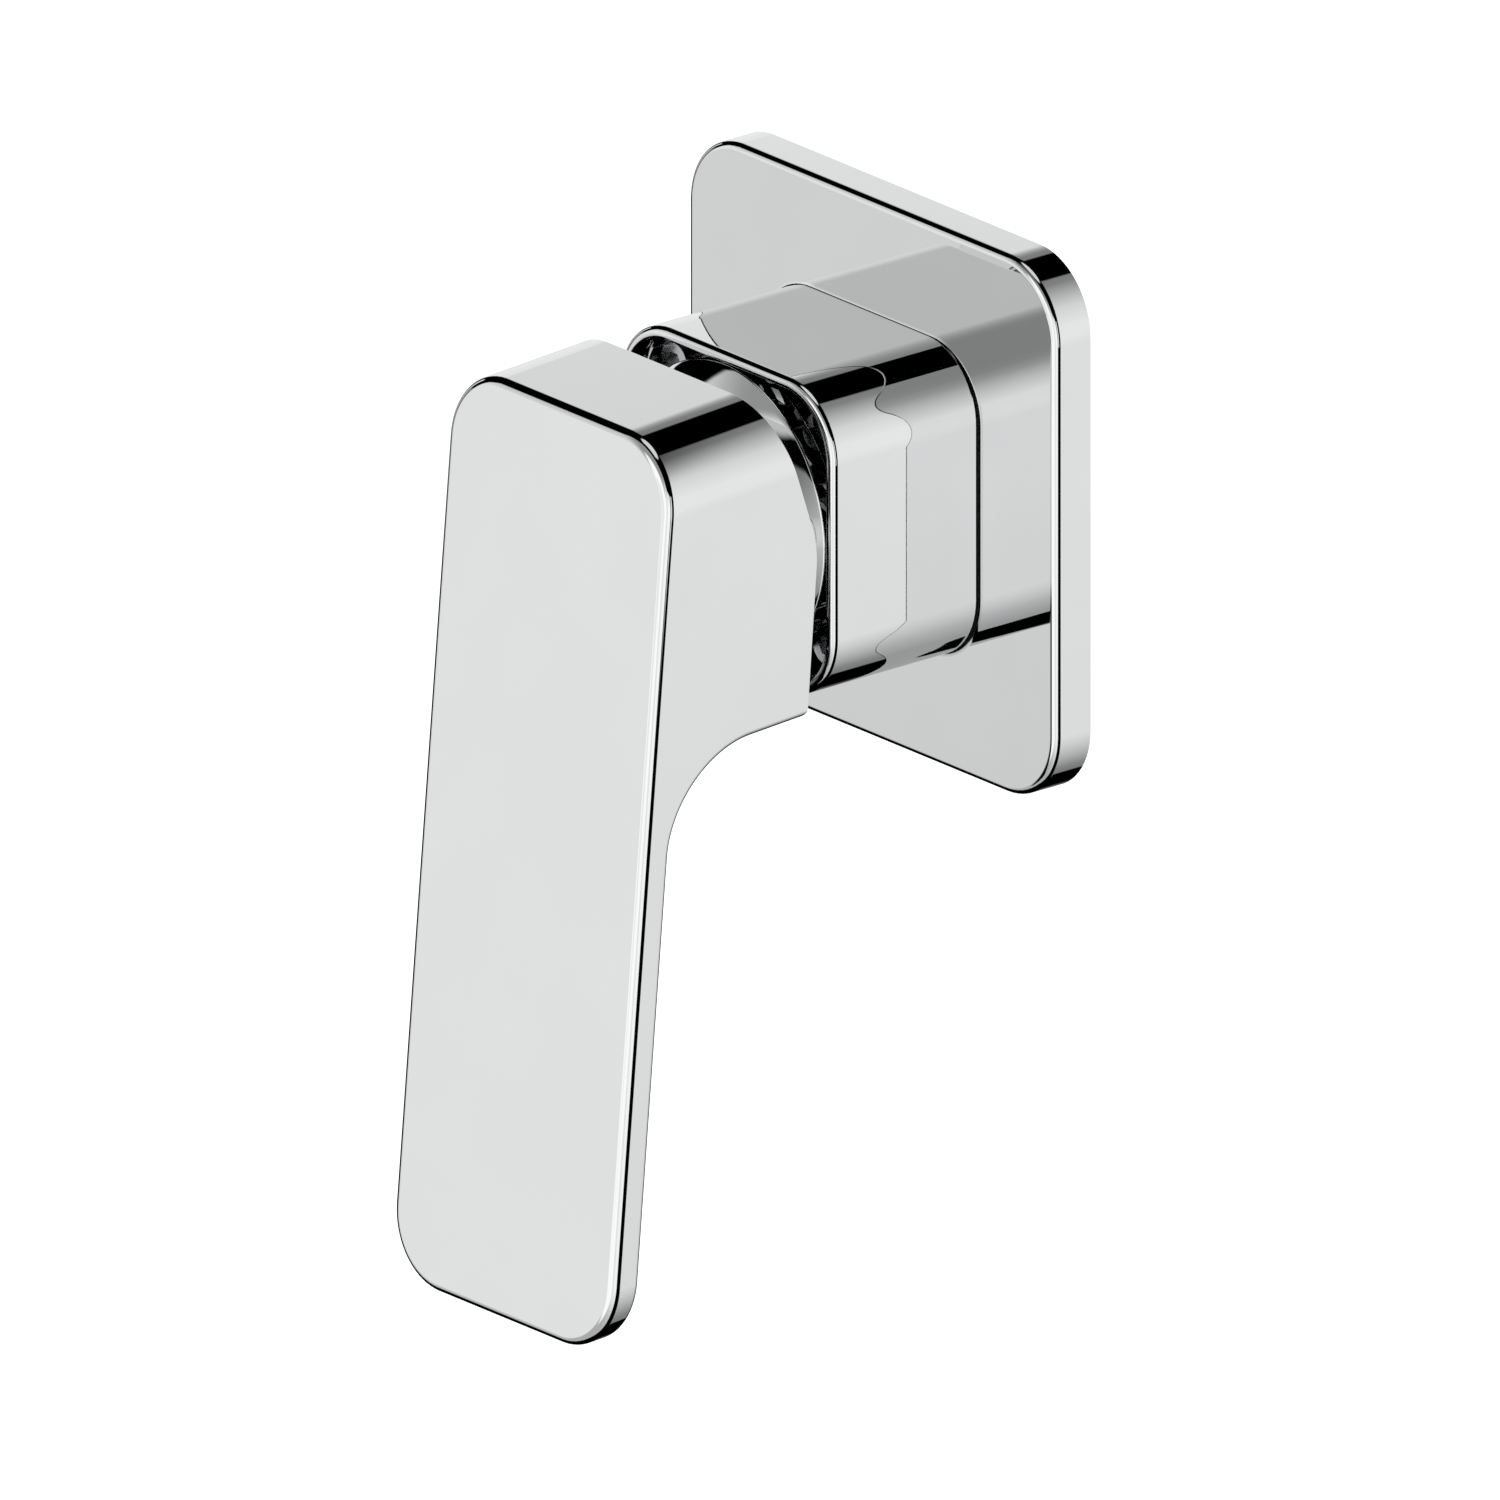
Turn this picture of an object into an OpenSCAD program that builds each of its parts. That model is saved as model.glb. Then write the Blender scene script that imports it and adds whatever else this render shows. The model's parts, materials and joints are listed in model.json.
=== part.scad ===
// Single-lever wall shower mixer trim: wall plate, sleeve, cartridge and lever handle.
// Millimetres. The wall is the plane Y = 0, the object stands out along -Y and +Z is up.
// Every piece is drawn from the wall outwards and stood up by from_wall() or lever_frame().

/* [Wall plate] */
// Side of the square wall plate
plate_size = 80; // [76:1:110]
// Distance of the plate's front face from the wall
plate_t = 6.5; // [6.4:0.1:9]
// Corner radius of the plate seen from the front
plate_corner_r = 11; // [6:0.5:16]
// Rounding of the plate's front edge
plate_edge_r = 1.1; // [0.4:0.1:1.8]
// Thickness of the plate's front wall
plate_front_t = 2.2; // [1.6:0.1:2.6]
// Thickness of the plate's side walls
plate_wall = 2; // [1.2:0.1:3]
// Width of the foam frame behind the plate
gasket_w = 4; // [2.5:0.5:5]

/* [Sleeve] */
// Outer side of the rounded-square sleeve
sleeve_size = 46.8; // [44:0.1:51]
// Corner radius of the sleeve seen from the front
sleeve_corner_r = 10.5; // [9:0.5:11]
// Wall of the sleeve
sleeve_wall = 2; // [1.6:0.1:2]
// How far the sleeve's rim stands past the lever's pivot
rim_rise = 11.2; // [10:0.1:11.4]
// Rounding of the rim's outer edge
sleeve_edge_r = 0.6; // [0.2:0.1:1]
// Gap between the sleeve and the plate's opening
plate_gap = 0.4; // [0.2:0.1:0.6]

/* [Mounting flange] */
// Gap between the square flange's sides and the foam frame
flange_gap = 2.9; // [2.4:0.1:4]
// Gap between the flange's front and the plate's lip
flange_clear = 0.3; // [0.2:0.1:0.8]
// Distance of the four wall screws from the flange's sides
wall_screw_edge = 5.5; // [5:0.1:6]
// Radius of the wall screw holes
wall_screw_r = 2.25; // [1.6:0.05:2.3]
// Radius of the countersink for the wall screw's head
wall_screw_head_r = 3.6; // [3:0.1:3.8]

/* [Ports] */
// Radius of the three water ports
port_r = 3.5; // [2.5:0.1:3.6]
// Distance between the hot and the cold port
port_spread = 15; // [14.5:0.1:16]
// How far the hot and cold ports lie below the axis
port_drop = 4; // [3.8:0.1:5]
// How far the outlet port lies above the axis
outlet_rise = 8; // [7.8:0.1:9]

/* [Mixer block] */
// Thickness of the block's floor behind the cartridge
block_floor_t = 3; // [2.6:0.1:5]
// How far the round neck stands out of the block's square part
neck_rise = 5; // [4.6:0.1:6]
// Gap between the block's round neck and the sleeve
neck_gap = 1.5; // [1.5:0.1:1.8]
// Wall between the neck and the nut's thread
neck_wall = 1.3; // [1.1:0.05:1.5]
// Shank radius of the block screws
block_screw_r = 1.5; // [1.2:0.1:1.7]
// Head radius of the block screws
block_screw_head_r = 2.75; // [2.4:0.05:2.8]
// Head height of the block screws
block_screw_head_h = 3.2; // [2:0.1:3.4]

/* [Cartridge] */
// Step from the cartridge's case out to the nut's thread
nut_step = 1.1; // [1:0.05:1.3]
// Wall of the case
case_wall = 1.5; // [1.2:0.1:1.6]
// Thickness of the case's shoulder under the ring nut
case_shoulder_t = 1.5; // [1:0.1:2.5]
// Width of the case's shoulder, from its side to its neck
case_shoulder_w = 5.5; // [5.3:0.1:5.8]
// Wall of the case's neck, in which the swivel turns
case_neck_wall = 1.6; // [1.4:0.1:2]
// Height of the plastic base
base_t = 3.8; // [3.8:0.1:5]
// Thickness of the fixed ceramic disc
fixed_disc_t = 2.2; // [2:0.1:4]
// Thickness of the moving ceramic disc
moving_disc_t = 2.2; // [2:0.1:4]
// Height of the coupler on the moving disc
coupler_t = 4.4; // [4:0.1:4.4]
// Thickness of the swivel's flange, which holds the pivot pin
swivel_flange_t = 4.4; // [4:0.1:5]
// Thickness of the brass ring nut
nut_t = 4.2; // [3:0.1:4.2]
// Side of the square stem
stem_w = 7; // [6:0.1:7.5]
// Radius of the ball at the stem's inner end
ball_r = 1.9; // [1.5:0.1:2.1]
// Radius of the pivot pin
pin_r = 1.25; // [1:0.05:1.4]
// Swivel from the middle to each stop, in degrees
swivel_half_angle = 45; // [30:1:60]

/* [Dome] */
// Gap between the dome's rim and the sleeve
dome_gap = 0.2; // [0.1:0.05:0.3]
// How far the dome's round part starts past the lever's pivot
dome_rise = 10; // [9.5:0.1:10.4]
// Slope of the dome's face at its rim, in degrees
dome_slope = 52; // [48:1:58]
// Height of the dome's straight rim
dome_rim_h = 2.4; // [2:0.1:2.5]
// Wall of the dome
dome_wall = 1.2; // [0.8:0.1:1.2]
// Width of the dome from its rim to the hole that the handle's hub passes through
dome_face_w = 6.2; // [5.4:0.1:6.6]

/* [Handle] */
// Width of the handle
handle_w = 47.8; // [44:0.1:50]
// Downward droop of the stem when the lever is closed, in degrees
stem_droop = 3.3; // [0:0.1:4]
// Tilt of the handle's front face against the stem, in degrees
face_tilt = 8.3; // [6:0.1:9]
// Distance from the pivot to the front face along the stem
face_reach = 43; // [42:0.1:48]
// Height of the block's top above the stem
block_top = 24.95; // [24:0.05:26]
// Depth of the block's underside below the stem
block_drop = 21.25; // [21:0.05:24]
// Length of the lever below the stem
lever_drop = 107; // [85:1:150]
// Thickness of the paddle
paddle_t = 3.8; // [3:0.1:6]
// Radius of the hollow between block and paddle
hollow_r = 16; // [11:0.5:20]
// Corner radius of the handle seen from the front
handle_corner_r = 10.5; // [6:0.5:14]
// Rounding of the front edge
handle_edge_r = 1; // [0.4:0.1:1.5]
// Distance from the pivot to the crest of the block's rear
rear_reach = 14.5; // [14.3:0.1:15]
// Lean of the rear below the crest, in degrees
rear_lean_low = 7.7; // [5:0.1:12]
// Lean of the rear above the crest, in degrees
rear_lean_high = 15; // [15:0.1:18]
// Radius of the crest
crest_r = 14; // [6:0.5:16]
// Running gap between the dome's rim and the hollow in the handle's rear
dish_gap = 0.6; // [0.5:0.1:1]
// Outer radius of the handle's hub
hub_r = 7; // [6.2:0.1:7.2]
// How much smaller than the dome the pocket round the hub is
pocket_inset = 4.7; // [4.2:0.1:7]
// Least wall between the pocket and the front face
front_wall = 3.4; // [3:0.1:6]
// Radius of the grub screw
grub_r = 2.5; // [2:0.1:2.6]

/* [Hidden] */
$fn = 64;
fit = 0.05;
loose = 0.3;
slip = 0.1;
lap_film = 0.02;
cut = 1;

// Seals: height of the groove in the plate, roll radius of each ring, and the flat seals of the base
seal_w = 1.5;
port_ring_r = 0.8;
sleeve_ring_r = 0.6;
base_ring_r = 0.65;
base_seal_w = 1.4;
base_seal_t = 1.4;

// Wall plate and mounting flange
plate_hollow = plate_t - plate_front_t;
plate_inner = plate_size - 2 * plate_wall;
plate_opening = sleeve_size + 2 * plate_gap;
plate_opening_r = sleeve_corner_r + plate_gap;
plate_lip = 0.5;
plate_lip_w = 3;
gasket_size = plate_inner - 2 * slip;
gasket_least_r = 1;
flange_t = plate_hollow - plate_lip - flange_clear;
flange_size = gasket_size - 2 * (gasket_w + flange_gap);
flange_corner_r = 8;
wall_screw_offset = flange_size / 2 - wall_screw_edge;
wall_screw_sink = wall_screw_head_r - wall_screw_r;

// Distances from the wall, from the back forwards
neck_lip = 1;
limit_ring_t = 0.7;
stop_h = 1;
block_back = flange_t;
chamber_floor = block_back + block_floor_t;
base_front = chamber_floor + base_t;
fixed_front = base_front + fixed_disc_t;
moving_back = fixed_front + lap_film;
moving_front = moving_back + moving_disc_t;
coupler_front = moving_front + coupler_t;
swivel_back = coupler_front + slip;
pivot_out = swivel_back + swivel_flange_t / 2;
swivel_front = swivel_back + swivel_flange_t;
shoulder_back = swivel_front + slip;
case_front = shoulder_back + case_shoulder_t;
nut_front = case_front + nut_t;
neck_front = nut_front + neck_lip;
block_front = neck_front - neck_rise;
limit_front = nut_front + limit_ring_t;
case_neck_front = limit_front;
stop_front = limit_front + stop_h;
sleeve_front = pivot_out + rim_rise;
ball_out = moving_front + loose + ball_r;
ball_reach = pivot_out - ball_out;

// Sleeve and the block inside it
sleeve_back = flange_t + slip;
sleeve_bore = sleeve_size - 2 * sleeve_wall;
sleeve_bore_r = sleeve_corner_r - sleeve_wall;
block_size = sleeve_bore - 2 * loose;
block_corner_r = sleeve_bore_r - loose;
sleeve_ring_out = (block_back + block_front) / 2;
neck_r = sleeve_bore / 2 - neck_gap;

// The block screws stand halfway between the neck and the sleeve's corners
sleeve_corner_reach = (sleeve_bore / 2 - sleeve_bore_r) * sqrt(2) + sleeve_bore_r;
block_screw_offset = (neck_r + sleeve_corner_reach) / 2 / sqrt(2);

// Block, cartridge and swivel
nut_r = neck_r - neck_wall;
case_r = nut_r - nut_step;
case_neck_r = case_r - case_shoulder_w;
swivel_bore_r = case_neck_r - case_neck_wall;
chamber_r = case_r + slip;
nut_bore_r = case_neck_r + loose;
nut_slots = 4;
nut_slot_w = 3;
nut_slot_h = 1.4;
base_flange_t = 2.4;
base_plug_r = case_r - case_wall - slip;
base_groove_r = case_r - 2 * base_ring_r;
locating_pin_r = 1.2;
locating_pin_wall = 1.5;
locating_pin_offset = base_groove_r - locating_pin_r - locating_pin_wall;
locating_pin_angle = 17;
locating_pin_h = 2;
disc_gap = 0.4;
disc_r = case_r - case_wall - disc_gap;
moving_disc_room = 4.1;
moving_disc_r = disc_r - moving_disc_room;
mixing_pocket_rise = 4.5;
mixing_pocket_rim = 2;
mixing_pocket_r = moving_disc_r - mixing_pocket_rise - mixing_pocket_rim;
mixing_pocket_h = 1.2;
drive_pin_r = 1.2;
drive_pin_inset = 4;
drive_pin_offset = moving_disc_r - drive_pin_inset;
drive_pin_h = 1.2;
coupler_flat_cut = 1.1;
coupler_flat = moving_disc_r - coupler_flat_cut;
swivel_gap = 0.8;
swivel_flange_r = case_r - case_wall - swivel_gap;
swivel_neck_r = swivel_bore_r - fit;
swivel_leg_gap = 0.3;
swivel_leg_w = 12;
swivel_leg_x = coupler_flat + swivel_leg_gap + swivel_flange_r / 2;
limit_ring_inset = 2;
limit_ring_r = case_r - limit_ring_inset;
stop_lug_reach = 1.6;
stop_lug_r = case_neck_r + stop_lug_reach;
stop_lug_w = 4;
stop_w = 3;
stop_inset = 0.5;
stop_play = 1;
pin_inset = 1;
block_screw_end = 1;
hex_key_r = 1.5;
hex_key_h = 1.8;

// Lever
lift_max = 20;
edge_clear = 0.02;
stem_end = 28;
stem_knuckle_r = swivel_flange_t / 2 - slip;
stem_arm_r = 1.2;
ball_up = ball_reach * sin(stem_droop);
slot_top = (stop_front - pivot_out) * tan(lift_max - stem_droop)
    + stem_w / 2 / cos(lift_max - stem_droop) + loose;
slot_bottom = (stop_front - pivot_out) * tan(stem_droop) + stem_w / 2 / cos(stem_droop) + loose;
dome_rim_r = sleeve_bore / 2 - dome_gap;
dome_hole_r = dome_rim_r - dome_face_w;
dome_r = dome_rim_r / sin(dome_slope);
dome_centre = dome_rise - dome_r * cos(dome_slope);
dish_r = norm([dome_rim_r, dome_rise]) + dish_gap;
hub_start = 13;
socket_w = stem_w + 2 * fit;
crest_up = 3;
rear_top_out = rear_reach + (block_top - crest_up) * tan(rear_lean_high);
rear_bottom_out = rear_reach + (block_drop + crest_up) * tan(rear_lean_low);
pocket_r = dome_rim_r - pocket_inset;
hollow_up = -block_drop - hollow_r;
hollow_out = paddle_rear(hollow_up) - hollow_r / cos(face_tilt);
pocket_end = face_reach - (pocket_r * sin(face_tilt) + front_wall) / cos(face_tilt);
grub_out = 24;
grub_end = 9;
grub_boss_wall = 2.2;
grub_boss_r = grub_r + grub_boss_wall;
cap_lip = 1;
cap_r = grub_r + cap_lip;
cap_t = 1.8;

// Distance from the pivot to the front face and to the paddle's rear, at a height above the stem
function face_out(up) = face_reach - up * tan(face_tilt);
function paddle_rear(up) = face_out(up) - paddle_t / cos(face_tilt);

// Stands a piece up: its z runs out of the wall and its y runs up
module from_wall(out = 0) {
    rotate([90, 0, 0]) translate([0, 0, out]) children();
}

// The frame of the tilting lever: z runs along the stem, away from the pivot
module lever_frame() {
    from_wall(pivot_out) rotate([stem_droop, 0, 0]) children();
}

// Repeats a piece at the four corners of a square
module at_corners(offset_xy) {
    for (x = [-1, 1], y = [-1, 1]) translate([x * offset_xy, y * offset_xy, 0]) children();
}

// Repeats a piece at the hot, the cold and the outlet port
module at_ports() {
    for (p = [[-port_spread / 2, -port_drop], [port_spread / 2, -port_drop], [0, outlet_rise]])
        translate([p[0], p[1], 0]) children();
}

// Repeats a piece at the cartridge's two locating pins
module at_locating_pins() {
    for (turn = [locating_pin_angle, 180 - locating_pin_angle])
        rotate([0, 0, turn]) translate([locating_pin_offset, 0, 0]) children();
}

// Rectangle with true arcs at its corners
module rounded_rect(w, h, r) {
    square([w - 2 * r, h], center = true);
    square([w, h - 2 * r], center = true);
    for (x = [-1, 1], y = [-1, 1]) translate([x * (w / 2 - r), y * (h / 2 - r)]) circle(r);
}

module rounded_slab(w, h, r, t) {
    linear_extrude(t) rounded_rect(w, h, r);
}

// Carries a profile round a rounded rectangle: the profile's x is the distance from the corner's centre
module rounded_frame(w, h, r) {
    half_x = w / 2 - r;
    half_y = h / 2 - r;
    for (k = [0, 1]) rotate([0, 0, 180 * k]) {
        translate([half_x, half_y, 0]) rotate([90, 0, 0]) linear_extrude(2 * half_y) children();
        rotate([0, 0, 90]) translate([half_y, half_x, 0]) rotate([90, 0, 0])
            linear_extrude(2 * half_x) children();
        translate([half_x, half_y, 0]) rotate_extrude(angle = 90) children();
        translate([-half_x, half_y, 0]) rotate([0, 0, 90]) rotate_extrude(angle = 90) children();
    }
}

// Profile of an edge zone, from x = inner to x = outer, whose outer front corner is rounded
module rounded_edge(inner, outer, t, edge_r) {
    translate([inner, 0]) square([outer - inner, t - edge_r]);
    translate([inner, 0]) square([outer - edge_r - inner, t]);
    translate([outer - edge_r, t - edge_r]) circle(edge_r);
}

// Rounded slab whose front edge is rounded as well
module soft_slab(w, h, r, t, edge_r) {
    rounded_frame(w, h, r) rounded_edge(0, r, t, edge_r);
    translate([-w / 2 + r, -h / 2 + r, 0]) cube([w - 2 * r, h - 2 * r, t]);
}

module ring(outer_r, inner_r, t) {
    difference() {
        cylinder(r = outer_r, h = t);
        translate([0, 0, -cut]) cylinder(r = inner_r, h = t + 2 * cut);
    }
}

module rubber_ring(centre_r, roll_r) {
    rotate_extrude() translate([centre_r, 0]) circle(roll_r);
}

// Draws a side outline [out, up] and spreads it along the lever's width
module across(w) {
    rotate([0, -90, 0]) linear_extrude(w, center = true) children();
}

module wall_gasket() color("dimgray") from_wall() difference() {
    rounded_slab(gasket_size, gasket_size, plate_corner_r - plate_wall - slip, plate_hollow);
    translate([0, 0, -cut]) rounded_slab(gasket_size - 2 * gasket_w, gasket_size - 2 * gasket_w,
        max(gasket_least_r, plate_corner_r - plate_wall - gasket_w), plate_hollow + 2 * cut);
}

module wall_plate() color("gainsboro") from_wall() difference() {
    union() {
        difference() {
            soft_slab(plate_size, plate_size, plate_corner_r, plate_t, plate_edge_r);
            translate([0, 0, -cut]) rounded_slab(plate_inner, plate_inner, plate_corner_r - plate_wall,
                plate_hollow + cut);
        }
        translate([0, 0, plate_hollow - plate_lip]) rounded_slab(plate_opening + 2 * plate_lip_w,
            plate_opening + 2 * plate_lip_w, plate_opening_r + plate_lip_w, plate_lip + cut);
    }
    translate([0, 0, -cut])
        rounded_slab(plate_opening, plate_opening, plate_opening_r, plate_t + 2 * cut);
    translate([0, 0, plate_hollow]) rounded_slab(plate_opening + plate_front_t,
        plate_opening + plate_front_t, plate_opening_r + plate_front_t / 2, seal_w);
}

// Rubber lip ring that fills the plate's groove and touches the sleeve
module plate_seal() color("black") from_wall(plate_hollow + fit)
    rounded_frame(sleeve_size, sleeve_size, sleeve_corner_r)
        translate([sleeve_corner_r + fit, 0])
            square([plate_gap + plate_front_t / 2 - 2 * fit, seal_w - 2 * fit]);

module sleeve() color("gainsboro") from_wall(sleeve_back)
    rounded_frame(sleeve_size, sleeve_size, sleeve_corner_r)
        rounded_edge(sleeve_bore_r, sleeve_corner_r, sleeve_front - sleeve_back, sleeve_edge_r);

module mounting_flange() color("silver") from_wall() difference() {
    rounded_slab(flange_size, flange_size, flange_corner_r, flange_t);
    at_ports() translate([0, 0, -cut]) cylinder(r = port_r, h = flange_t + 2 * cut);
    at_corners(wall_screw_offset) {
        translate([0, 0, -cut]) cylinder(r = wall_screw_r, h = flange_t + 2 * cut);
        translate([0, 0, flange_t - wall_screw_sink])
            cylinder(r1 = wall_screw_r, r2 = wall_screw_head_r + cut, h = wall_screw_sink + cut);
    }
    at_corners(block_screw_offset) translate([0, 0, block_screw_end - fit])
        cylinder(r = block_screw_r + fit, h = flange_t);
}

// Seats in the block's back, round each port
port_seat_r = port_r + 2 * port_ring_r + slip;
module port_orings() color("black") from_wall(block_back + port_ring_r)
    at_ports() rubber_ring(port_r + port_ring_r + slip / 2, port_ring_r);

module mixer_block() color("goldenrod") from_wall(block_back) difference() {
    union() {
        rounded_slab(block_size, block_size, block_corner_r, block_front - block_back);
        cylinder(r = neck_r, h = neck_front - block_back);
    }
    at_ports() {
        translate([0, 0, -cut]) cylinder(r = port_r, h = block_floor_t + 2 * cut);
        translate([0, 0, -cut]) cylinder(r = port_seat_r, h = 2 * port_ring_r + cut);
    }
    translate([0, 0, block_floor_t]) cylinder(r = chamber_r, h = neck_front);
    translate([0, 0, case_front - 2 * loose - block_back]) cylinder(r = nut_r, h = neck_front);
    at_locating_pins() translate([0, 0, block_floor_t - locating_pin_h - slip])
        cylinder(r = locating_pin_r + fit, h = locating_pin_h + cut);
    at_corners(block_screw_offset) translate([0, 0, -cut])
        cylinder(r = block_screw_r + slip, h = block_front);
    translate([0, 0, sleeve_ring_out - block_back - sleeve_ring_r])
        rounded_frame(block_size, block_size, block_corner_r)
            translate([block_corner_r - sleeve_ring_r * 2 + loose, 0])
                square([sleeve_ring_r * 2 + cut, sleeve_ring_r * 2]);
}

module block_screws() color("silver") from_wall() at_corners(block_screw_offset) difference() {
    union() {
        translate([0, 0, block_screw_end]) cylinder(r = block_screw_r, h = block_front - block_screw_end);
        translate([0, 0, block_front]) cylinder(r = block_screw_head_r, h = block_screw_head_h);
    }
    translate([0, 0, block_front + block_screw_head_h - hex_key_h])
        cylinder(r = hex_key_r, h = hex_key_h + cut, $fn = 6);
}

// Rubber ring in the block's groove, pressed lightly by the sleeve
module sleeve_oring() color("black") from_wall(sleeve_ring_out)
    rounded_frame(sleeve_bore, sleeve_bore, sleeve_bore_r)
        translate([sleeve_bore_r - sleeve_ring_r - fit, 0]) circle(sleeve_ring_r - fit);

module base_seals() color("black") from_wall(chamber_floor)
    at_ports() ring(port_r + base_seal_w, port_r, base_seal_t);

module base_oring() color("black") from_wall(chamber_floor + base_flange_t / 2)
    rubber_ring(base_groove_r + base_ring_r, base_ring_r);

module cartridge_base() color("slategray") from_wall(chamber_floor) difference() {
    union() {
        cylinder(r = case_r, h = base_flange_t);
        cylinder(r = base_plug_r, h = base_t);
        at_locating_pins() translate([0, 0, -locating_pin_h])
            cylinder(r = locating_pin_r, h = locating_pin_h + cut);
    }
    at_ports() {
        translate([0, 0, -cut]) cylinder(r = port_r, h = base_t + 2 * cut);
        translate([0, 0, -cut]) cylinder(r = port_r + base_seal_w + fit, h = base_seal_t + cut);
    }
    translate([0, 0, base_flange_t / 2 - base_ring_r]) ring(case_r + cut, base_groove_r, 2 * base_ring_r);
}

module fixed_disc() color("white") from_wall(base_front) difference() {
    cylinder(r = disc_r, h = fixed_disc_t);
    at_ports() translate([0, 0, -cut]) cylinder(r = port_r, h = fixed_disc_t + 2 * cut);
}

// Case: a skirt round the discs, a shoulder under the ring nut and the neck for the swivel
module cartridge_case() color("ivory") from_wall() difference() {
    union() {
        translate([0, 0, chamber_floor + base_flange_t])
            cylinder(r = case_r, h = case_front - chamber_floor - base_flange_t);
        cylinder(r = case_neck_r, h = case_neck_front);
    }
    translate([0, 0, -cut]) cylinder(r = case_r - case_wall, h = shoulder_back + cut);
    cylinder(r = swivel_bore_r, h = case_neck_front + cut);
}

module retaining_nut() color("goldenrod") from_wall(case_front) difference() {
    ring(nut_r - fit, nut_bore_r, nut_t);
    for (k = [0 : nut_slots - 1]) rotate([0, 0, 360 / nut_slots * (k + 0.5)])
        translate([nut_r - nut_slot_w, -nut_slot_w / 2, nut_t - nut_slot_h])
            cube([2 * nut_slot_w, nut_slot_w, nut_slot_h + cut]);
}

// Ring on the case's neck whose two blocks stop the swivel's lug
stop_angle = swivel_half_angle + asin((stop_lug_w + stop_w) / 2 / case_neck_r) + stop_play;
module limit_ring() color("firebrick") from_wall(nut_front) difference() {
    union() {
        cylinder(r = limit_ring_r, h = limit_front - nut_front);
        for (side = [-1, 1]) rotate([0, 0, -90 + side * stop_angle])
            translate([0, -stop_w / 2, 0])
                cube([limit_ring_r - stop_inset, stop_w, stop_front - nut_front]);
    }
    translate([0, 0, -cut]) cylinder(r = case_neck_r + slip, h = stop_front);
}

// Dome: a shallow ball face that stays inside the handle's hollow, which is centred on the pivot
module dome_cover() color("gainsboro") from_wall(pivot_out) difference() {
    union() {
        translate([0, 0, dome_rise - dome_rim_h]) cylinder(r = dome_rim_r, h = dome_rim_h);
        intersection() {
            translate([0, 0, dome_centre]) sphere(r = dome_r);
            translate([0, 0, dome_rise]) cylinder(r = dome_rim_r, h = dome_r);
        }
    }
    translate([0, 0, dome_centre]) sphere(r = dome_r - dome_wall);
    translate([0, 0, dome_rise - dome_rim_h - cut]) cylinder(r = neck_r + slip, h = dome_rim_h + cut);
    translate([0, 0, dome_rise - dome_rim_h - cut]) cylinder(r = dome_hole_r, h = dome_r);
}

// Swivel: turns in the case's neck, holds the pivot pin and guides the coupler between its two legs
module stem_carrier() color("lightgray") from_wall() difference() {
    union() {
        translate([0, 0, swivel_back]) cylinder(r = swivel_flange_r, h = swivel_flange_t);
        translate([0, 0, swivel_back]) cylinder(r = swivel_neck_r, h = stop_front - swivel_back);
        translate([-stop_lug_w / 2, -stop_lug_r, case_neck_front + slip])
            cube([stop_lug_w, stop_lug_r, stop_front - case_neck_front - slip]);
        intersection() {
            translate([0, 0, moving_front + loose])
                cylinder(r = swivel_flange_r, h = swivel_back - moving_front);
            for (side = [-1, 1])
                translate([side * swivel_leg_x, 0, swivel_back / 2])
                    cube([swivel_flange_r, swivel_leg_w, 2 * swivel_back], center = true);
        }
    }
    translate([-stem_w / 2 - slip, -slot_bottom, swivel_back - cut])
        cube([stem_w + 2 * slip, slot_bottom + slot_top, stop_front]);
    translate([-case_r, 0, pivot_out]) rotate([0, 90, 0]) cylinder(r = pin_r + lap_film, h = 2 * case_r);
}

module pivot_pin() color("silver") from_wall(pivot_out) translate([-swivel_flange_r + pin_inset, 0, 0])
    rotate([0, 90, 0]) cylinder(r = pin_r, h = 2 * (swivel_flange_r - pin_inset));

// Coupler: the stem's ball end moves it and the disc up and down
module disc_coupler() color("lightgray") from_wall() {
    difference() {
        translate([0, 0, moving_front]) intersection() {
            cylinder(r = moving_disc_r, h = coupler_t);
            translate([-coupler_flat, -moving_disc_r, 0])
                cube([2 * coupler_flat, 2 * moving_disc_r, coupler_t]);
        }
        translate([0, ball_up, moving_front - cut]) cylinder(r = ball_r + loose, h = coupler_t + 2 * cut);
    }
    for (x = [-1, 1]) translate([x * drive_pin_offset, 0, moving_front - drive_pin_h])
        cylinder(r = drive_pin_r, h = drive_pin_h + slip);
}

module moving_disc() color("white") from_wall(moving_back) difference() {
    cylinder(r = moving_disc_r, h = moving_disc_t);
    translate([0, mixing_pocket_rise, -cut]) cylinder(r = mixing_pocket_r, h = mixing_pocket_h + cut);
    for (x = [-1, 1]) translate([x * drive_pin_offset, 0, moving_disc_t - drive_pin_h - fit])
        cylinder(r = drive_pin_r + fit, h = drive_pin_h + cut);
}

module lever_stem() color("silver") lever_frame() difference() {
    union() {
        translate([-stem_w / 2, -stem_w / 2, 0]) cube([stem_w, stem_w, stem_end]);
        translate([-stem_w / 2, 0, 0]) rotate([0, 90, 0]) cylinder(r = stem_knuckle_r, h = stem_w);
        translate([0, 0, -ball_reach]) cylinder(r = stem_arm_r, h = ball_reach);
        translate([0, 0, -ball_reach]) sphere(r = ball_r);
    }
    translate([-stem_w, 0, 0]) rotate([0, 90, 0]) cylinder(r = pin_r + fit, h = 2 * stem_w);
}

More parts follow.
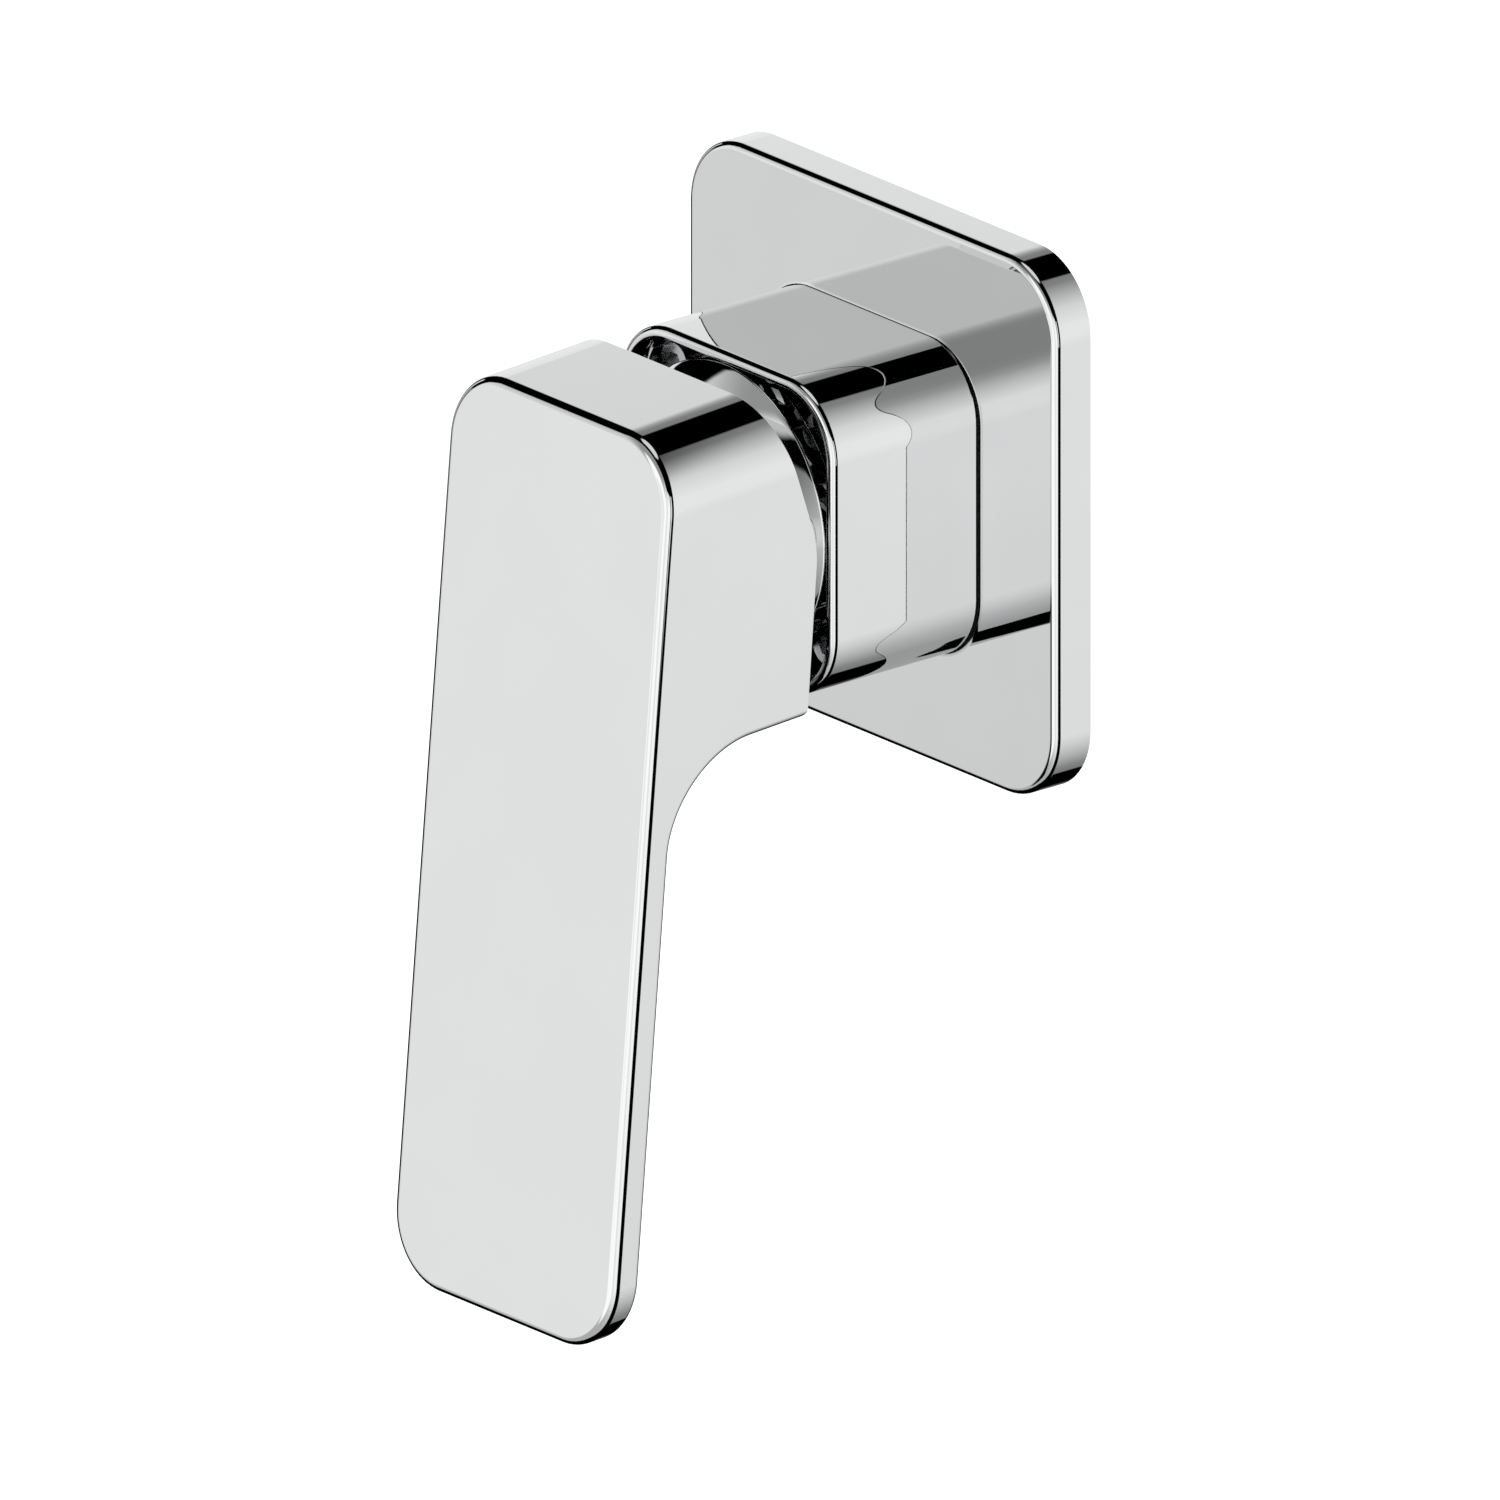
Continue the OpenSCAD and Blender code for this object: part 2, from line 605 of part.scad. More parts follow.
// Side outline of the handle: block, paddle and the round hollow between them
module handle_side() {
    low_normal = [cos(rear_lean_low), sin(rear_lean_low)];
    high_normal = [cos(rear_lean_high), -sin(rear_lean_high)];
    crest = [rear_reach, crest_up];
    crest_centre = crest + crest_r * (low_normal + high_normal) / (1 + low_normal * high_normal);
    difference() {
        polygon([
            crest, [rear_top_out, block_top], [face_out(block_top), block_top],
            [face_out(-lever_drop), -lever_drop], [paddle_rear(-lever_drop), -lever_drop],
            [hollow_out + hollow_r * cos(face_tilt), hollow_up + hollow_r * sin(face_tilt)],
            [hollow_out, hollow_up], [hollow_out, -block_drop], [rear_bottom_out, -block_drop]
        ]);
        translate([hollow_out, hollow_up]) circle(hollow_r);
        difference() {
            polygon([
                crest_centre - crest_r * low_normal,
                crest - [crest_r, 0],
                crest_centre - crest_r * high_normal
            ]);
            translate(crest_centre) circle(crest_r);
        }
    }
}

// Outer form: the side outline, the front outline and the rounded front edge, in common
module handle_form() {
    mid_up = (block_top - lever_drop) / 2;
    lever_h = block_top + lever_drop;
    face_w = handle_w + 2 * edge_clear;
    face_h = lever_h / cos(face_tilt) + 2 * edge_clear;
    face_mid = mid_up / cos(face_tilt) + handle_edge_r * tan(face_tilt);
    intersection() {
        across(handle_w + 2 * cut) handle_side();
        translate([0, mid_up, 0]) rounded_slab(handle_w, lever_h, handle_corner_r, 2 * face_reach);
        translate([0, 0, face_reach]) rotate([-face_tilt, 0, 0]) union() {
            translate([0, face_mid, -handle_edge_r - cut])
                soft_slab(face_w, face_h, handle_corner_r, handle_edge_r + cut, handle_edge_r);
            translate([-handle_w, -2 * lever_h, -2 * face_reach - handle_edge_r])
                cube([2 * handle_w, 4 * lever_h, 2 * face_reach]);
        }
    }
}

module handle() color("gainsboro") lever_frame() difference() {
    union() {
        difference() {
            handle_form();
            sphere(r = dish_r);
            cylinder(r = pocket_r, h = pocket_end);
        }
        translate([0, 0, hub_start]) cylinder(r = hub_r, h = pocket_end - hub_start + cut);
        translate([0, 0, grub_out]) rotate([90, 0, 0]) cylinder(r = grub_boss_r, h = pocket_r + cut);
    }
    translate([-socket_w / 2, -socket_w / 2, 0]) cube([socket_w, socket_w, stem_end + slip]);
    translate([0, 0, grub_out]) rotate([90, 0, 0]) cylinder(r = grub_r + fit, h = block_drop + cut);
    translate([0, -block_drop + cap_t, grub_out]) rotate([90, 0, 0])
        cylinder(r = cap_r + fit, h = cap_t + cut);
}

module grub_screw() color("silver") lever_frame() translate([0, -stem_w / 2, grub_out])
    rotate([90, 0, 0]) difference() {
        cylinder(r = grub_r, h = grub_end);
        translate([0, 0, grub_end - hex_key_h]) cylinder(r = hex_key_r, h = hex_key_h + cut, $fn = 6);
    }

module screw_cap() color("gainsboro") lever_frame() translate([0, -block_drop, grub_out])
    rotate([-90, 0, 0]) {
        cylinder(r = cap_r, h = cap_t - fit);
        cylinder(r = grub_r - slip, h = 2 * cap_t);
    }

wall_gasket();
wall_plate();
plate_seal();
sleeve();
mounting_flange();
port_orings();
mixer_block();
block_screws();
sleeve_oring();
base_seals();
base_oring();
cartridge_base();
fixed_disc();
cartridge_case();
retaining_nut();
limit_ring();
dome_cover();
stem_carrier();
pivot_pin();
disc_coupler();
moving_disc();
lever_stem();
handle();
grub_screw();
screw_cap();
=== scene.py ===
import json
import math

import bmesh
import bpy
from mathutils import Matrix, Vector


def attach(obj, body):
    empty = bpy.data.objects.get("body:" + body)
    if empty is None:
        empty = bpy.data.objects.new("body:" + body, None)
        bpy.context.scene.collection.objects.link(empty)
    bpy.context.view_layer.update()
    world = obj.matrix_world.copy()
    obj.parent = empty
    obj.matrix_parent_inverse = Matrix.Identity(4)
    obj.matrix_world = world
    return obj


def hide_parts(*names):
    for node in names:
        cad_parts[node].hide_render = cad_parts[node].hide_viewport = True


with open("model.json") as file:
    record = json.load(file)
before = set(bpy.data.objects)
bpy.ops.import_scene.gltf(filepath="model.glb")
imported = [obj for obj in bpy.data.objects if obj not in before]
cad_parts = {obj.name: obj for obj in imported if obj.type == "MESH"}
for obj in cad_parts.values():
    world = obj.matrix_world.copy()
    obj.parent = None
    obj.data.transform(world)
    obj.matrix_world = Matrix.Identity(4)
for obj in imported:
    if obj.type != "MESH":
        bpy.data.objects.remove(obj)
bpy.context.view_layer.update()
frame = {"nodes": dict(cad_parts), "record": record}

# Sizes of the object are in millimetres. They repeat the sizes of the part's source, and differ a little
# where the photograph shows an edge more finely.
# Shapes are drawn with x across, y up and z out of the wall, and stood up by one of two frames.
MM = 0.001
PIVOT_OUT = 21.42
STEM_DROOP = math.radians(3.3)
WALL_FRAME = Matrix.Scale(MM, 4) @ Matrix.Rotation(math.pi / 2, 4, "X")
LEVER_FRAME = WALL_FRAME @ Matrix.Translation((0, 0, PIVOT_OUT)) @ Matrix.Rotation(STEM_DROOP, 4, "X")

PLATE_SIZE = 80.0
PLATE_T = 6.5
PLATE_CORNER = 11.0
PLATE_EDGE = 1.1
PLATE_WALL = 2.0
PLATE_HOLLOW = 4.3
PLATE_OPENING = 47.6
PLATE_OPENING_CORNER = 10.9
PLATE_LIP = 0.5
PLATE_LIP_W = 3.0

# The fine collar round the sleeve closes on it above and below, and stands off at the sides
COLLAR_W = 0.45
COLLAR_SLOPE = math.radians(12)
COLLAR_T = 0.55
COLLAR_PLAY = 0.02
COLLAR_SIDE_PLAY = 0.52

SLEEVE_SIZE = 46.8
SLEEVE_CORNER = 10.5
SLEEVE_WALL = 2.0
SLEEVE_BACK = 3.6
SLEEVE_FRONT = 33.1
SLEEVE_EDGE = 1.05
SLEEVE_MOUTH_WALL = 1.45
SLEEVE_MOUTH_DEPTH = 3.0
SLEEVE_INNER_EDGE = 0.15

DOME_RIM_R = 21.8
DOME_RISE = 11.78
DOME_RIM_H = 2.9
DOME_RIM_EDGE = 0.2
DOME_WALL = 1.2
DOME_HOLE_R = 15.0
DOME_NECK_R = 20.0
DOME_SLOPE = math.radians(42)
DOME_R = DOME_RIM_R / math.sin(DOME_SLOPE)
DOME_CENTRE = PIVOT_OUT + DOME_RISE - DOME_R * math.cos(DOME_SLOPE)

HANDLE_W = 47.8
HANDLE_CORNER = 10.5
HANDLE_EDGE = 1.45
FACE_TILT = math.radians(8.3)
FACE_REACH = 43.7
BLOCK_TOP = 24.95
BLOCK_DROP = 21.7
LEVER_DROP = 107.2
PADDLE_T = 5.05
HOLLOW_R = 16.0
REAR_REACH = 14.5
CREST_UP = 3.0
CREST_R = 14.0
LEAN_LOW = math.radians(7.7)
LEAN_HIGH = math.radians(15.0)
UNDER_EDGE = 1.0
FINE_BREAK = 0.15

DISH_PLAY = 0.6
DISH_R = math.hypot(DOME_RIM_R, DOME_RISE) + DISH_PLAY
POCKET_R = 16.5
FRONT_WALL = 3.4
HUB_R = 7.0
HUB_START = 13.0
SOCKET_W = 7.1
SOCKET_END = 28.1
GRUB_OUT = 24.0
GRUB_BORE_R = 2.55
GRUB_BOSS_R = 4.7
GRUB_BOSS_START = 2.0
CAP_BORE_R = 3.55
CAP_SEAT = 19.45

# How far a joined or cutting shape runs on past a surface
OVERLAP = 1.0

# How near two places count as one: where edges are picked, points welded and slivers dropped
NEAR = 0.01
WELD = 0.0001
SLIVER = 0.0005

# A surface that turns by more than this has an edge there: on plate and sleeve, round the handle's face,
# on its other sides, on the dome, and in the shading
CORNER_TURN = math.radians(57)
FACE_TURN = math.radians(29)
HANDLE_TURN = math.radians(40)
DOME_TURN = math.radians(30)
SHADING_TURN = math.radians(35)


# Shaping

def placed(name, bm):
    """Puts a shaped mesh into the scene as an object."""
    mesh = bpy.data.meshes.new(name)
    bm.to_mesh(mesh)
    bm.free()
    piece = bpy.data.objects.new(name, mesh)
    bpy.context.scene.collection.objects.link(piece)
    return piece


def edges_between(bm, test):
    """The edges whose two ends both pass a test on their place."""
    return [e for e in bm.edges if test(e.verts[0].co) and test(e.verts[1].co)]


def sharp_edges(bm, least_turn):
    """The edges where two faces meet at more than a given turn."""
    return [e for e in bm.edges if len(e.link_faces) == 2 and e.calc_face_angle() > least_turn]


def only_vertices(made):
    return [v for v in made if isinstance(v, bmesh.types.BMVert)]


def soften(bm, edges, width, steps):
    """Rounds the given edges."""
    bmesh.ops.bevel(
        bm, geom=edges, offset=width, offset_type="OFFSET", segments=steps,
        profile=0.5, affect="EDGES", clamp_overlap=True, material=-1)


def rounded_loop(bm, side, corner, out, steps=16):
    """A closed loop of edges: a square with round corners, at a distance out of the wall."""
    earlier = set(bm.faces)
    square = bmesh.ops.create_grid(
        bm, x_segments=1, y_segments=1, size=side / 2, matrix=Matrix.Translation((0, 0, out)))
    bmesh.ops.bevel(
        bm, geom=square["verts"], offset=corner, offset_type="OFFSET", segments=steps,
        profile=0.5, affect="VERTICES", material=-1)
    face = [f for f in bm.faces if f not in earlier][0]
    loop = list(face.edges)
    bmesh.ops.delete(bm, geom=[face], context="FACES_ONLY")
    return loop


def carried_round(sections):
    """A closed ring whose section runs round a square with round corners: (side, corner, out) each."""
    bm = bmesh.new()
    loop = rounded_loop(bm, *sections[0])
    for here, there in zip(sections, sections[1:] + sections[:1]):
        drawn = bmesh.ops.extrude_edge_only(bm, edges=loop)
        loop = [e for e in drawn["geom"] if isinstance(e, bmesh.types.BMEdge)]
        for vert in {v for e in loop for v in e.verts}:
            vert.co = on_next_section(vert.co, here, there)
    bmesh.ops.remove_doubles(bm, verts=bm.verts, dist=WELD)
    bmesh.ops.recalc_face_normals(bm, faces=bm.faces)
    return bm


def on_next_section(co, here, there):
    """Moves a place from one rounded square to the same place on another."""
    side, corner, _ = here
    new_side, new_corner, new_out = there
    moved = [0, 0, new_out]
    for axis in (0, 1):
        centre = math.copysign(side / 2 - corner, co[axis])
        new_centre = math.copysign(new_side / 2 - new_corner, co[axis])
        moved[axis] = new_centre + (co[axis] - centre) * new_corner / corner
    return moved


def finished(bm, name, body, slot, stands, node):
    """Turns a shaped mesh into a piece of the model that rides on a body, in place of a CAD node."""
    bm.transform(stands)
    bmesh.ops.recalc_face_normals(bm, faces=bm.faces)
    for face in bm.faces:
        face.smooth = True
    piece = placed(name, bm)
    piece.data.materials.append(FINISHES[slot])
    shade_evenly(piece)
    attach(piece, body)
    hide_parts(node)


def shade_evenly(piece):
    """Flat faces reflect as flat faces, and only real corners break the shading."""
    piece.data.set_sharp_from_angle(angle=SHADING_TURN)
    even = piece.modifiers.new("even_shading", "WEIGHTED_NORMAL")
    even.mode = "FACE_AREA"
    even.weight = 100
    even.keep_sharp = True


# Materials

# The middle part of a noise pattern, which is spread over the whole range of a tone or a roughness
PATTERN_LOW = 0.3
PATTERN_HIGH = 0.7
MICRON = 0.000001
METAL = 1.0
NO_METAL = 0.0


def new_material(name, shader_type="ShaderNodeBsdfPrincipled"):
    """A material with a single shader. Returns both."""
    material = bpy.data.materials.new(name)
    material.use_nodes = True
    nodes = material.node_tree.nodes
    nodes.clear()
    output = nodes.new("ShaderNodeOutputMaterial")
    shader = nodes.new(shader_type)
    material.node_tree.links.new(shader.outputs[0], output.inputs["Surface"])
    return material, shader


def noise_on(material, scale, stretch=(1, 1, 1)):
    """A pattern fixed to the piece, in its own coordinates. Returns the noise's value."""
    nodes = material.node_tree.nodes
    links = material.node_tree.links
    place = nodes.new("ShaderNodeTexCoord")
    turned = nodes.new("ShaderNodeMapping")
    noise = nodes.new("ShaderNodeTexNoise")
    turned.inputs["Scale"].default_value = stretch
    noise.inputs["Scale"].default_value = scale
    noise.inputs["Detail"].default_value = 3.0
    links.new(place.outputs["Object"], turned.inputs["Vector"])
    links.new(turned.outputs["Vector"], noise.inputs["Vector"])
    return noise.outputs["Fac"]


def spread(material, value, low, high):
    """Maps a pattern's value to a range."""
    node = material.node_tree.nodes.new("ShaderNodeMapRange")
    node.inputs["From Min"].default_value = PATTERN_LOW
    node.inputs["From Max"].default_value = PATTERN_HIGH
    node.inputs["To Min"].default_value = low
    node.inputs["To Max"].default_value = high
    material.node_tree.links.new(value, node.inputs["Value"])
    return node.outputs["Result"]


def tinted(material, shader, value, dark, light):
    """Colour that wanders between two near tones."""
    ramp = material.node_tree.nodes.new("ShaderNodeValToRGB")
    ramp.color_ramp.elements[0].position = PATTERN_LOW
    ramp.color_ramp.elements[0].color = (*dark, 1)
    ramp.color_ramp.elements[1].position = PATTERN_HIGH
    ramp.color_ramp.elements[1].color = (*light, 1)
    material.node_tree.links.new(value, ramp.inputs["Fac"])
    material.node_tree.links.new(ramp.outputs["Color"], shader.inputs["Base Color"])


def bumped(material, shader, value, depth):
    """Relief of a given depth in metres."""
    bump = material.node_tree.nodes.new("ShaderNodeBump")
    bump.inputs["Strength"].default_value = 1.0
    bump.inputs["Distance"].default_value = depth
    material.node_tree.links.new(value, bump.inputs["Height"])
    material.node_tree.links.new(bump.outputs["Normal"], shader.inputs["Normal"])


def surface(name, metallic, dark, light, rough, scale, depth, stretch=(1, 1, 1), relief_scale=None):
    """A finish: two near tones, a range of roughness and a fine relief."""
    material, shader = new_material(name)
    shader.inputs["Metallic"].default_value = metallic
    pattern = noise_on(material, scale, stretch)
    tinted(material, shader, pattern, dark, light)
    links = material.node_tree.links
    links.new(spread(material, pattern, rough[0], rough[1]), shader.inputs["Roughness"])
    relief = noise_on(material, relief_scale or scale * 3, stretch)
    bumped(material, shader, relief, depth)
    return material


# The slots of the record. Steel and nickel plate are painted darker than there, as painted shade,
# because they stand in the gap beside the dome, which is nearly black.
FINISHES = {
    "chrome": surface(
        "polished_chrome", METAL, dark=(0.742, 0.748, 0.750), light=(0.758, 0.764, 0.766),
        rough=(0.012, 0.03), scale=60, depth=0.8 * MICRON, relief_scale=45),
    # Tones darkened below real steel: painted shade of the gap beside the dome
    "steel": surface(
        "satin_steel_with_painted_shade", METAL, dark=(0.46, 0.47, 0.48), light=(0.54, 0.55, 0.56),
        rough=(0.14, 0.22), scale=500, depth=3 * MICRON, stretch=(1, 1, 12)),
    "brass": surface(
        "machined_brass", METAL, dark=(0.70, 0.54, 0.27), light=(0.79, 0.62, 0.33),
        rough=(0.2, 0.32), scale=420, depth=6 * MICRON, stretch=(8, 1, 8)),
    # Tones darkened far below real nickel: painted shade of the gap beside the dome
    "plated_brass": surface(
        "nickel_plated_brass_with_painted_shade", METAL, dark=(0.26, 0.255, 0.25), light=(0.32, 0.315, 0.31),
        rough=(0.05, 0.09), scale=120, depth=0.5 * MICRON),
    "rubber": surface(
        "black_rubber", NO_METAL, dark=(0.024, 0.024, 0.025), light=(0.036, 0.036, 0.037),
        rough=(0.5, 0.68), scale=900, depth=10 * MICRON),
    "foam": surface(
        "closed_cell_foam", NO_METAL, dark=(0.09, 0.09, 0.092), light=(0.15, 0.15, 0.152),
        rough=(0.85, 0.98), scale=1600, depth=80 * MICRON),
    "grey_plastic": surface(
        "moulded_grey_plastic", NO_METAL, dark=(0.43, 0.45, 0.47), light=(0.47, 0.49, 0.51),
        rough=(0.38, 0.5), scale=700, depth=6 * MICRON),
    "white_plastic": surface(
        "moulded_white_plastic", NO_METAL, dark=(0.83, 0.82, 0.78), light=(0.87, 0.86, 0.82),
        rough=(0.36, 0.48), scale=700, depth=6 * MICRON),
    "red_plastic": surface(
        "moulded_red_plastic", NO_METAL, dark=(0.58, 0.07, 0.05), light=(0.66, 0.09, 0.07),
        rough=(0.36, 0.48), scale=700, depth=6 * MICRON),
    "cap_plastic": surface(
        "bright_plug_plastic", NO_METAL, dark=(0.73, 0.74, 0.75), light=(0.77, 0.78, 0.79),
        rough=(0.12, 0.2), scale=600, depth=3 * MICRON),
    "ceramic": surface(
        "lapped_ceramic", NO_METAL, dark=(0.90, 0.89, 0.86), light=(0.94, 0.93, 0.90),
        rough=(0.12, 0.22), scale=900, depth=2 * MICRON),
}

for part in frame["record"]["subparts"]:
    drawn = frame["nodes"][part["node"]]
    finish = FINISHES[part["material_slot"]]
    if not drawn.material_slots:
        drawn.data.materials.append(finish)
    for held in drawn.material_slots:
        held.material = finish


# Wall plate: a shallow square cap with a rolled front edge, and a fine collar round the sleeve

def make_wall_plate():
    lip_size = PLATE_OPENING + 2 * PLATE_LIP_W
    lip_corner = PLATE_OPENING_CORNER + PLATE_LIP_W
    inner_size = PLATE_SIZE - 2 * PLATE_WALL
    inner_corner = PLATE_CORNER - PLATE_WALL
    collar = SLEEVE_SIZE + 2 * COLLAR_PLAY
    collar_corner = SLEEVE_CORNER + COLLAR_PLAY
    collar_foot = collar + 2 * COLLAR_W
    collar_foot_corner = collar_corner + COLLAR_W
    collar_out = PLATE_T + COLLAR_W * math.tan(COLLAR_SLOPE)
    bm = carried_round([
        (PLATE_SIZE, PLATE_CORNER, 0),
        (PLATE_SIZE, PLATE_CORNER, PLATE_T),
        (collar_foot, collar_foot_corner, PLATE_T),
        (collar, collar_corner, collar_out),
        (collar, collar_corner, PLATE_T - COLLAR_T),
        (PLATE_OPENING, PLATE_OPENING_CORNER, PLATE_T - COLLAR_T),
        (PLATE_OPENING, PLATE_OPENING_CORNER, PLATE_HOLLOW - PLATE_LIP),
        (lip_size, lip_corner, PLATE_HOLLOW - PLATE_LIP),
        (lip_size, lip_corner, PLATE_HOLLOW),
        (inner_size, inner_corner, PLATE_HOLLOW),
        (inner_size, inner_corner, 0),
    ])
    inside = [v for v in bm.verts if max(abs(v.co.x), abs(v.co.y)) < collar_foot / 2 + NEAR]
    wider = (SLEEVE_SIZE / 2 + COLLAR_SIDE_PLAY) / (collar / 2)
    bmesh.ops.scale(bm, vec=(wider, 1, 1), verts=inside)
    front = edges_between(bm, lambda co: abs(co.z - PLATE_T) < NEAR)
    rolled = [e for e in front if e.calc_face_angle() > CORNER_TURN]
    soften(bm, rolled, PLATE_EDGE, steps=8)
    finished(bm, "plate_shell", "trim", "chrome", WALL_FRAME, "wall_plate")


# Sleeve: a square tube with round corners, thinner at its mouth and with a rim rolled on the outside

def make_sleeve():
    bore = SLEEVE_SIZE - 2 * SLEEVE_WALL
    bore_corner = SLEEVE_CORNER - SLEEVE_WALL
    mouth = SLEEVE_SIZE - 2 * SLEEVE_MOUTH_WALL
    mouth_corner = SLEEVE_CORNER - SLEEVE_MOUTH_WALL
    mouth_step = SLEEVE_WALL - SLEEVE_MOUTH_WALL
    bm = carried_round([
        (SLEEVE_SIZE, SLEEVE_CORNER, SLEEVE_BACK),
        (SLEEVE_SIZE, SLEEVE_CORNER, SLEEVE_FRONT),
        (mouth, mouth_corner, SLEEVE_FRONT),
        (mouth, mouth_corner, SLEEVE_FRONT - SLEEVE_MOUTH_DEPTH),
        (bore, bore_corner, SLEEVE_FRONT - SLEEVE_MOUTH_DEPTH - mouth_step),
        (bore, bore_corner, SLEEVE_BACK),
    ])
    front = edges_between(bm, lambda co: co.z > SLEEVE_FRONT - NEAR)
    rim = [e for e in front if e.calc_face_angle() > CORNER_TURN]
    middle = (SLEEVE_SIZE - SLEEVE_MOUTH_WALL) / 2
    middle_corner = SLEEVE_CORNER - SLEEVE_MOUTH_WALL / 2
    outer = [e for e in rim if is_outside(e.verts[0].co, middle, middle_corner)]
    inner = [e for e in rim if e not in outer]
    soften(bm, outer, SLEEVE_EDGE, steps=6)
    soften(bm, inner, SLEEVE_INNER_EDGE, steps=3)
    finished(bm, "sleeve_tube", "trim", "chrome", WALL_FRAME, "sleeve")


def is_outside(co, half, corner):
    """Whether a place lies outside a square with round corners."""
    over_x = abs(co.x) - (half - corner)
    over_y = abs(co.y) - (half - corner)
    if over_x > 0 and over_y > 0:
        return math.hypot(over_x, over_y) > corner
    return max(over_x, over_y) > corner


# Dome: a thin cap with a shallow ball face and an upright rim, turned round from half its section

def dome_arc(bm, radius, rim_r, rim_out, steps):
    """An arc of the ball from the rim in to the hole. Returns its two ends."""
    start = bm.verts.new((rim_r, 0, rim_out))
    turn = math.asin(rim_r / radius) - math.asin(DOME_HOLE_R / radius)
    arc = bmesh.ops.spin(
        bm, geom=[start], cent=(0, 0, DOME_CENTRE), axis=(0, 1, 0), angle=-turn, steps=steps)
    return start, only_vertices(arc["geom_last"])[0]


def make_dome():
    bm = bmesh.new()
    rim_out = PIVOT_OUT + DOME_RISE
    foot_out = rim_out - DOME_RIM_H
    inner_r = DOME_R - DOME_WALL
    inner_rim_r = math.sqrt(inner_r ** 2 - (rim_out - DOME_CENTRE) ** 2)
    outer_start, outer_end = dome_arc(bm, DOME_R, DOME_RIM_R, rim_out, steps=12)
    inner_start, inner_end = dome_arc(bm, inner_r, inner_rim_r, rim_out, steps=10)
    outer_foot = bm.verts.new((DOME_RIM_R, 0, foot_out))
    inner_foot = bm.verts.new((DOME_NECK_R, 0, foot_out))
    inner_step = bm.verts.new((DOME_NECK_R, 0, rim_out))
    bm.edges.new((outer_end, inner_end))
    bm.edges.new((outer_start, outer_foot))
    bm.edges.new((outer_foot, inner_foot))
    bm.edges.new((inner_foot, inner_step))
    bm.edges.new((inner_step, inner_start))
    bmesh.ops.spin(
        bm, geom=bm.edges[:], cent=(0, 0, 0), axis=(0, 0, 1), angle=2 * math.pi, steps=128,
        use_merge=True)
    bmesh.ops.remove_doubles(bm, verts=bm.verts, dist=WELD)
    bmesh.ops.recalc_face_normals(bm, faces=bm.faces)
    rim = [e for e in sharp_edges(bm, DOME_TURN) if e.verts[0].co.xy.length > DOME_RIM_R - NEAR]
    soften(bm, rim, DOME_RIM_EDGE, steps=3)
    finished(bm, "dome_shell", "trim", "chrome", WALL_FRAME, "dome_cover")


# Handle: block and paddle in one casting

def face_out(up):
    """How far out the paddle's face stands at a height."""
    return FACE_REACH - up * math.tan(FACE_TILT)


def paddle_rear(up):
    return face_out(up) - PADDLE_T / math.cos(FACE_TILT)


def ball(radius):
    bm = bmesh.new()
    bmesh.ops.create_uvsphere(bm, u_segments=160, v_segments=80, radius=radius)
    return bm


def rod(radius, start, end, segments=96, turned=Matrix.Identity(4)):
    """A round rod along z, from start to end."""
    bm = bmesh.new()
    bmesh.ops.create_cone(
        bm, cap_ends=True, segments=segments, radius1=radius, radius2=radius, depth=end - start,
        matrix=turned @ Matrix.Translation((0, 0, (start + end) / 2)))
    return bm


def grub_rod(radius, start, end):
    """A small round rod that runs down where the grub screw is."""
    downwards = Matrix.Translation((0, 0, GRUB_OUT)) @ Matrix.Rotation(math.pi / 2, 4, "X")
    return rod(radius, start, end, segments=48, turned=downwards)


def square_rod(width, start, end):
    bm = bmesh.new()
    sized = Matrix.Diagonal((width, width, end - start, 1))
    bmesh.ops.create_cube(bm, size=1, matrix=Matrix.Translation((0, 0, (start + end) / 2)) @ sized)
    return bm


def solid(name, bm):
    bmesh.ops.recalc_face_normals(bm, faces=bm.faces)
    return placed(name, bm)


def carved(bm, steps):
    """Cuts or joins other shapes to a shape, one after the other, and drops the slivers this leaves."""
    work = solid("work", bm)
    tools = []
    for operation, tool_mesh in steps:
        tool = solid("tool", tool_mesh)
        tools.append(tool)
        carve = work.modifiers.new("carve", "BOOLEAN")
        carve.operation = operation
        carve.solver = "EXACT"
        carve.object = tool
    bpy.context.view_layer.update()
    seen = work.evaluated_get(bpy.context.evaluated_depsgraph_get())
    result = bmesh.new()
    result.from_mesh(seen.to_mesh())
    seen.to_mesh_clear()
    bmesh.ops.dissolve_degenerate(result, dist=SLIVER, edges=result.edges)
    for spent in tools + [work]:
        mesh = spent.data
        bpy.data.objects.remove(spent)
        bpy.data.meshes.remove(mesh)
    return result


def side_outline():
    """The handle seen from the side, as (out, up), before any edge is rounded."""
    rear_top = REAR_REACH + (BLOCK_TOP - CREST_UP) * math.tan(LEAN_HIGH)
    rear_bottom = REAR_REACH + (BLOCK_DROP + CREST_UP) * math.tan(LEAN_LOW)
    return [
        (REAR_REACH, CREST_UP),
        (rear_top, BLOCK_TOP),
        (face_out(BLOCK_TOP), BLOCK_TOP),
        (face_out(-LEVER_DROP), -LEVER_DROP),
        (paddle_rear(-LEVER_DROP), -LEVER_DROP),
        (paddle_rear(-BLOCK_DROP), -BLOCK_DROP),
        (rear_bottom, -BLOCK_DROP),
    ]


def is_handle_corner(edge):
    """Whether an edge is one of the four corners of the face, and runs from the front to the back."""
    here, there = edge.verts[0].co, edge.verts[1].co
    at_side = abs(here.x) > HANDLE_W / 2 - NEAR
    runs_back = abs(here.x - there.x) < NEAR and abs(here.y - there.y) < NEAR
    at_end = here.y > BLOCK_TOP - NEAR or here.y < -LEVER_DROP + NEAR
    return at_side and runs_back and at_end


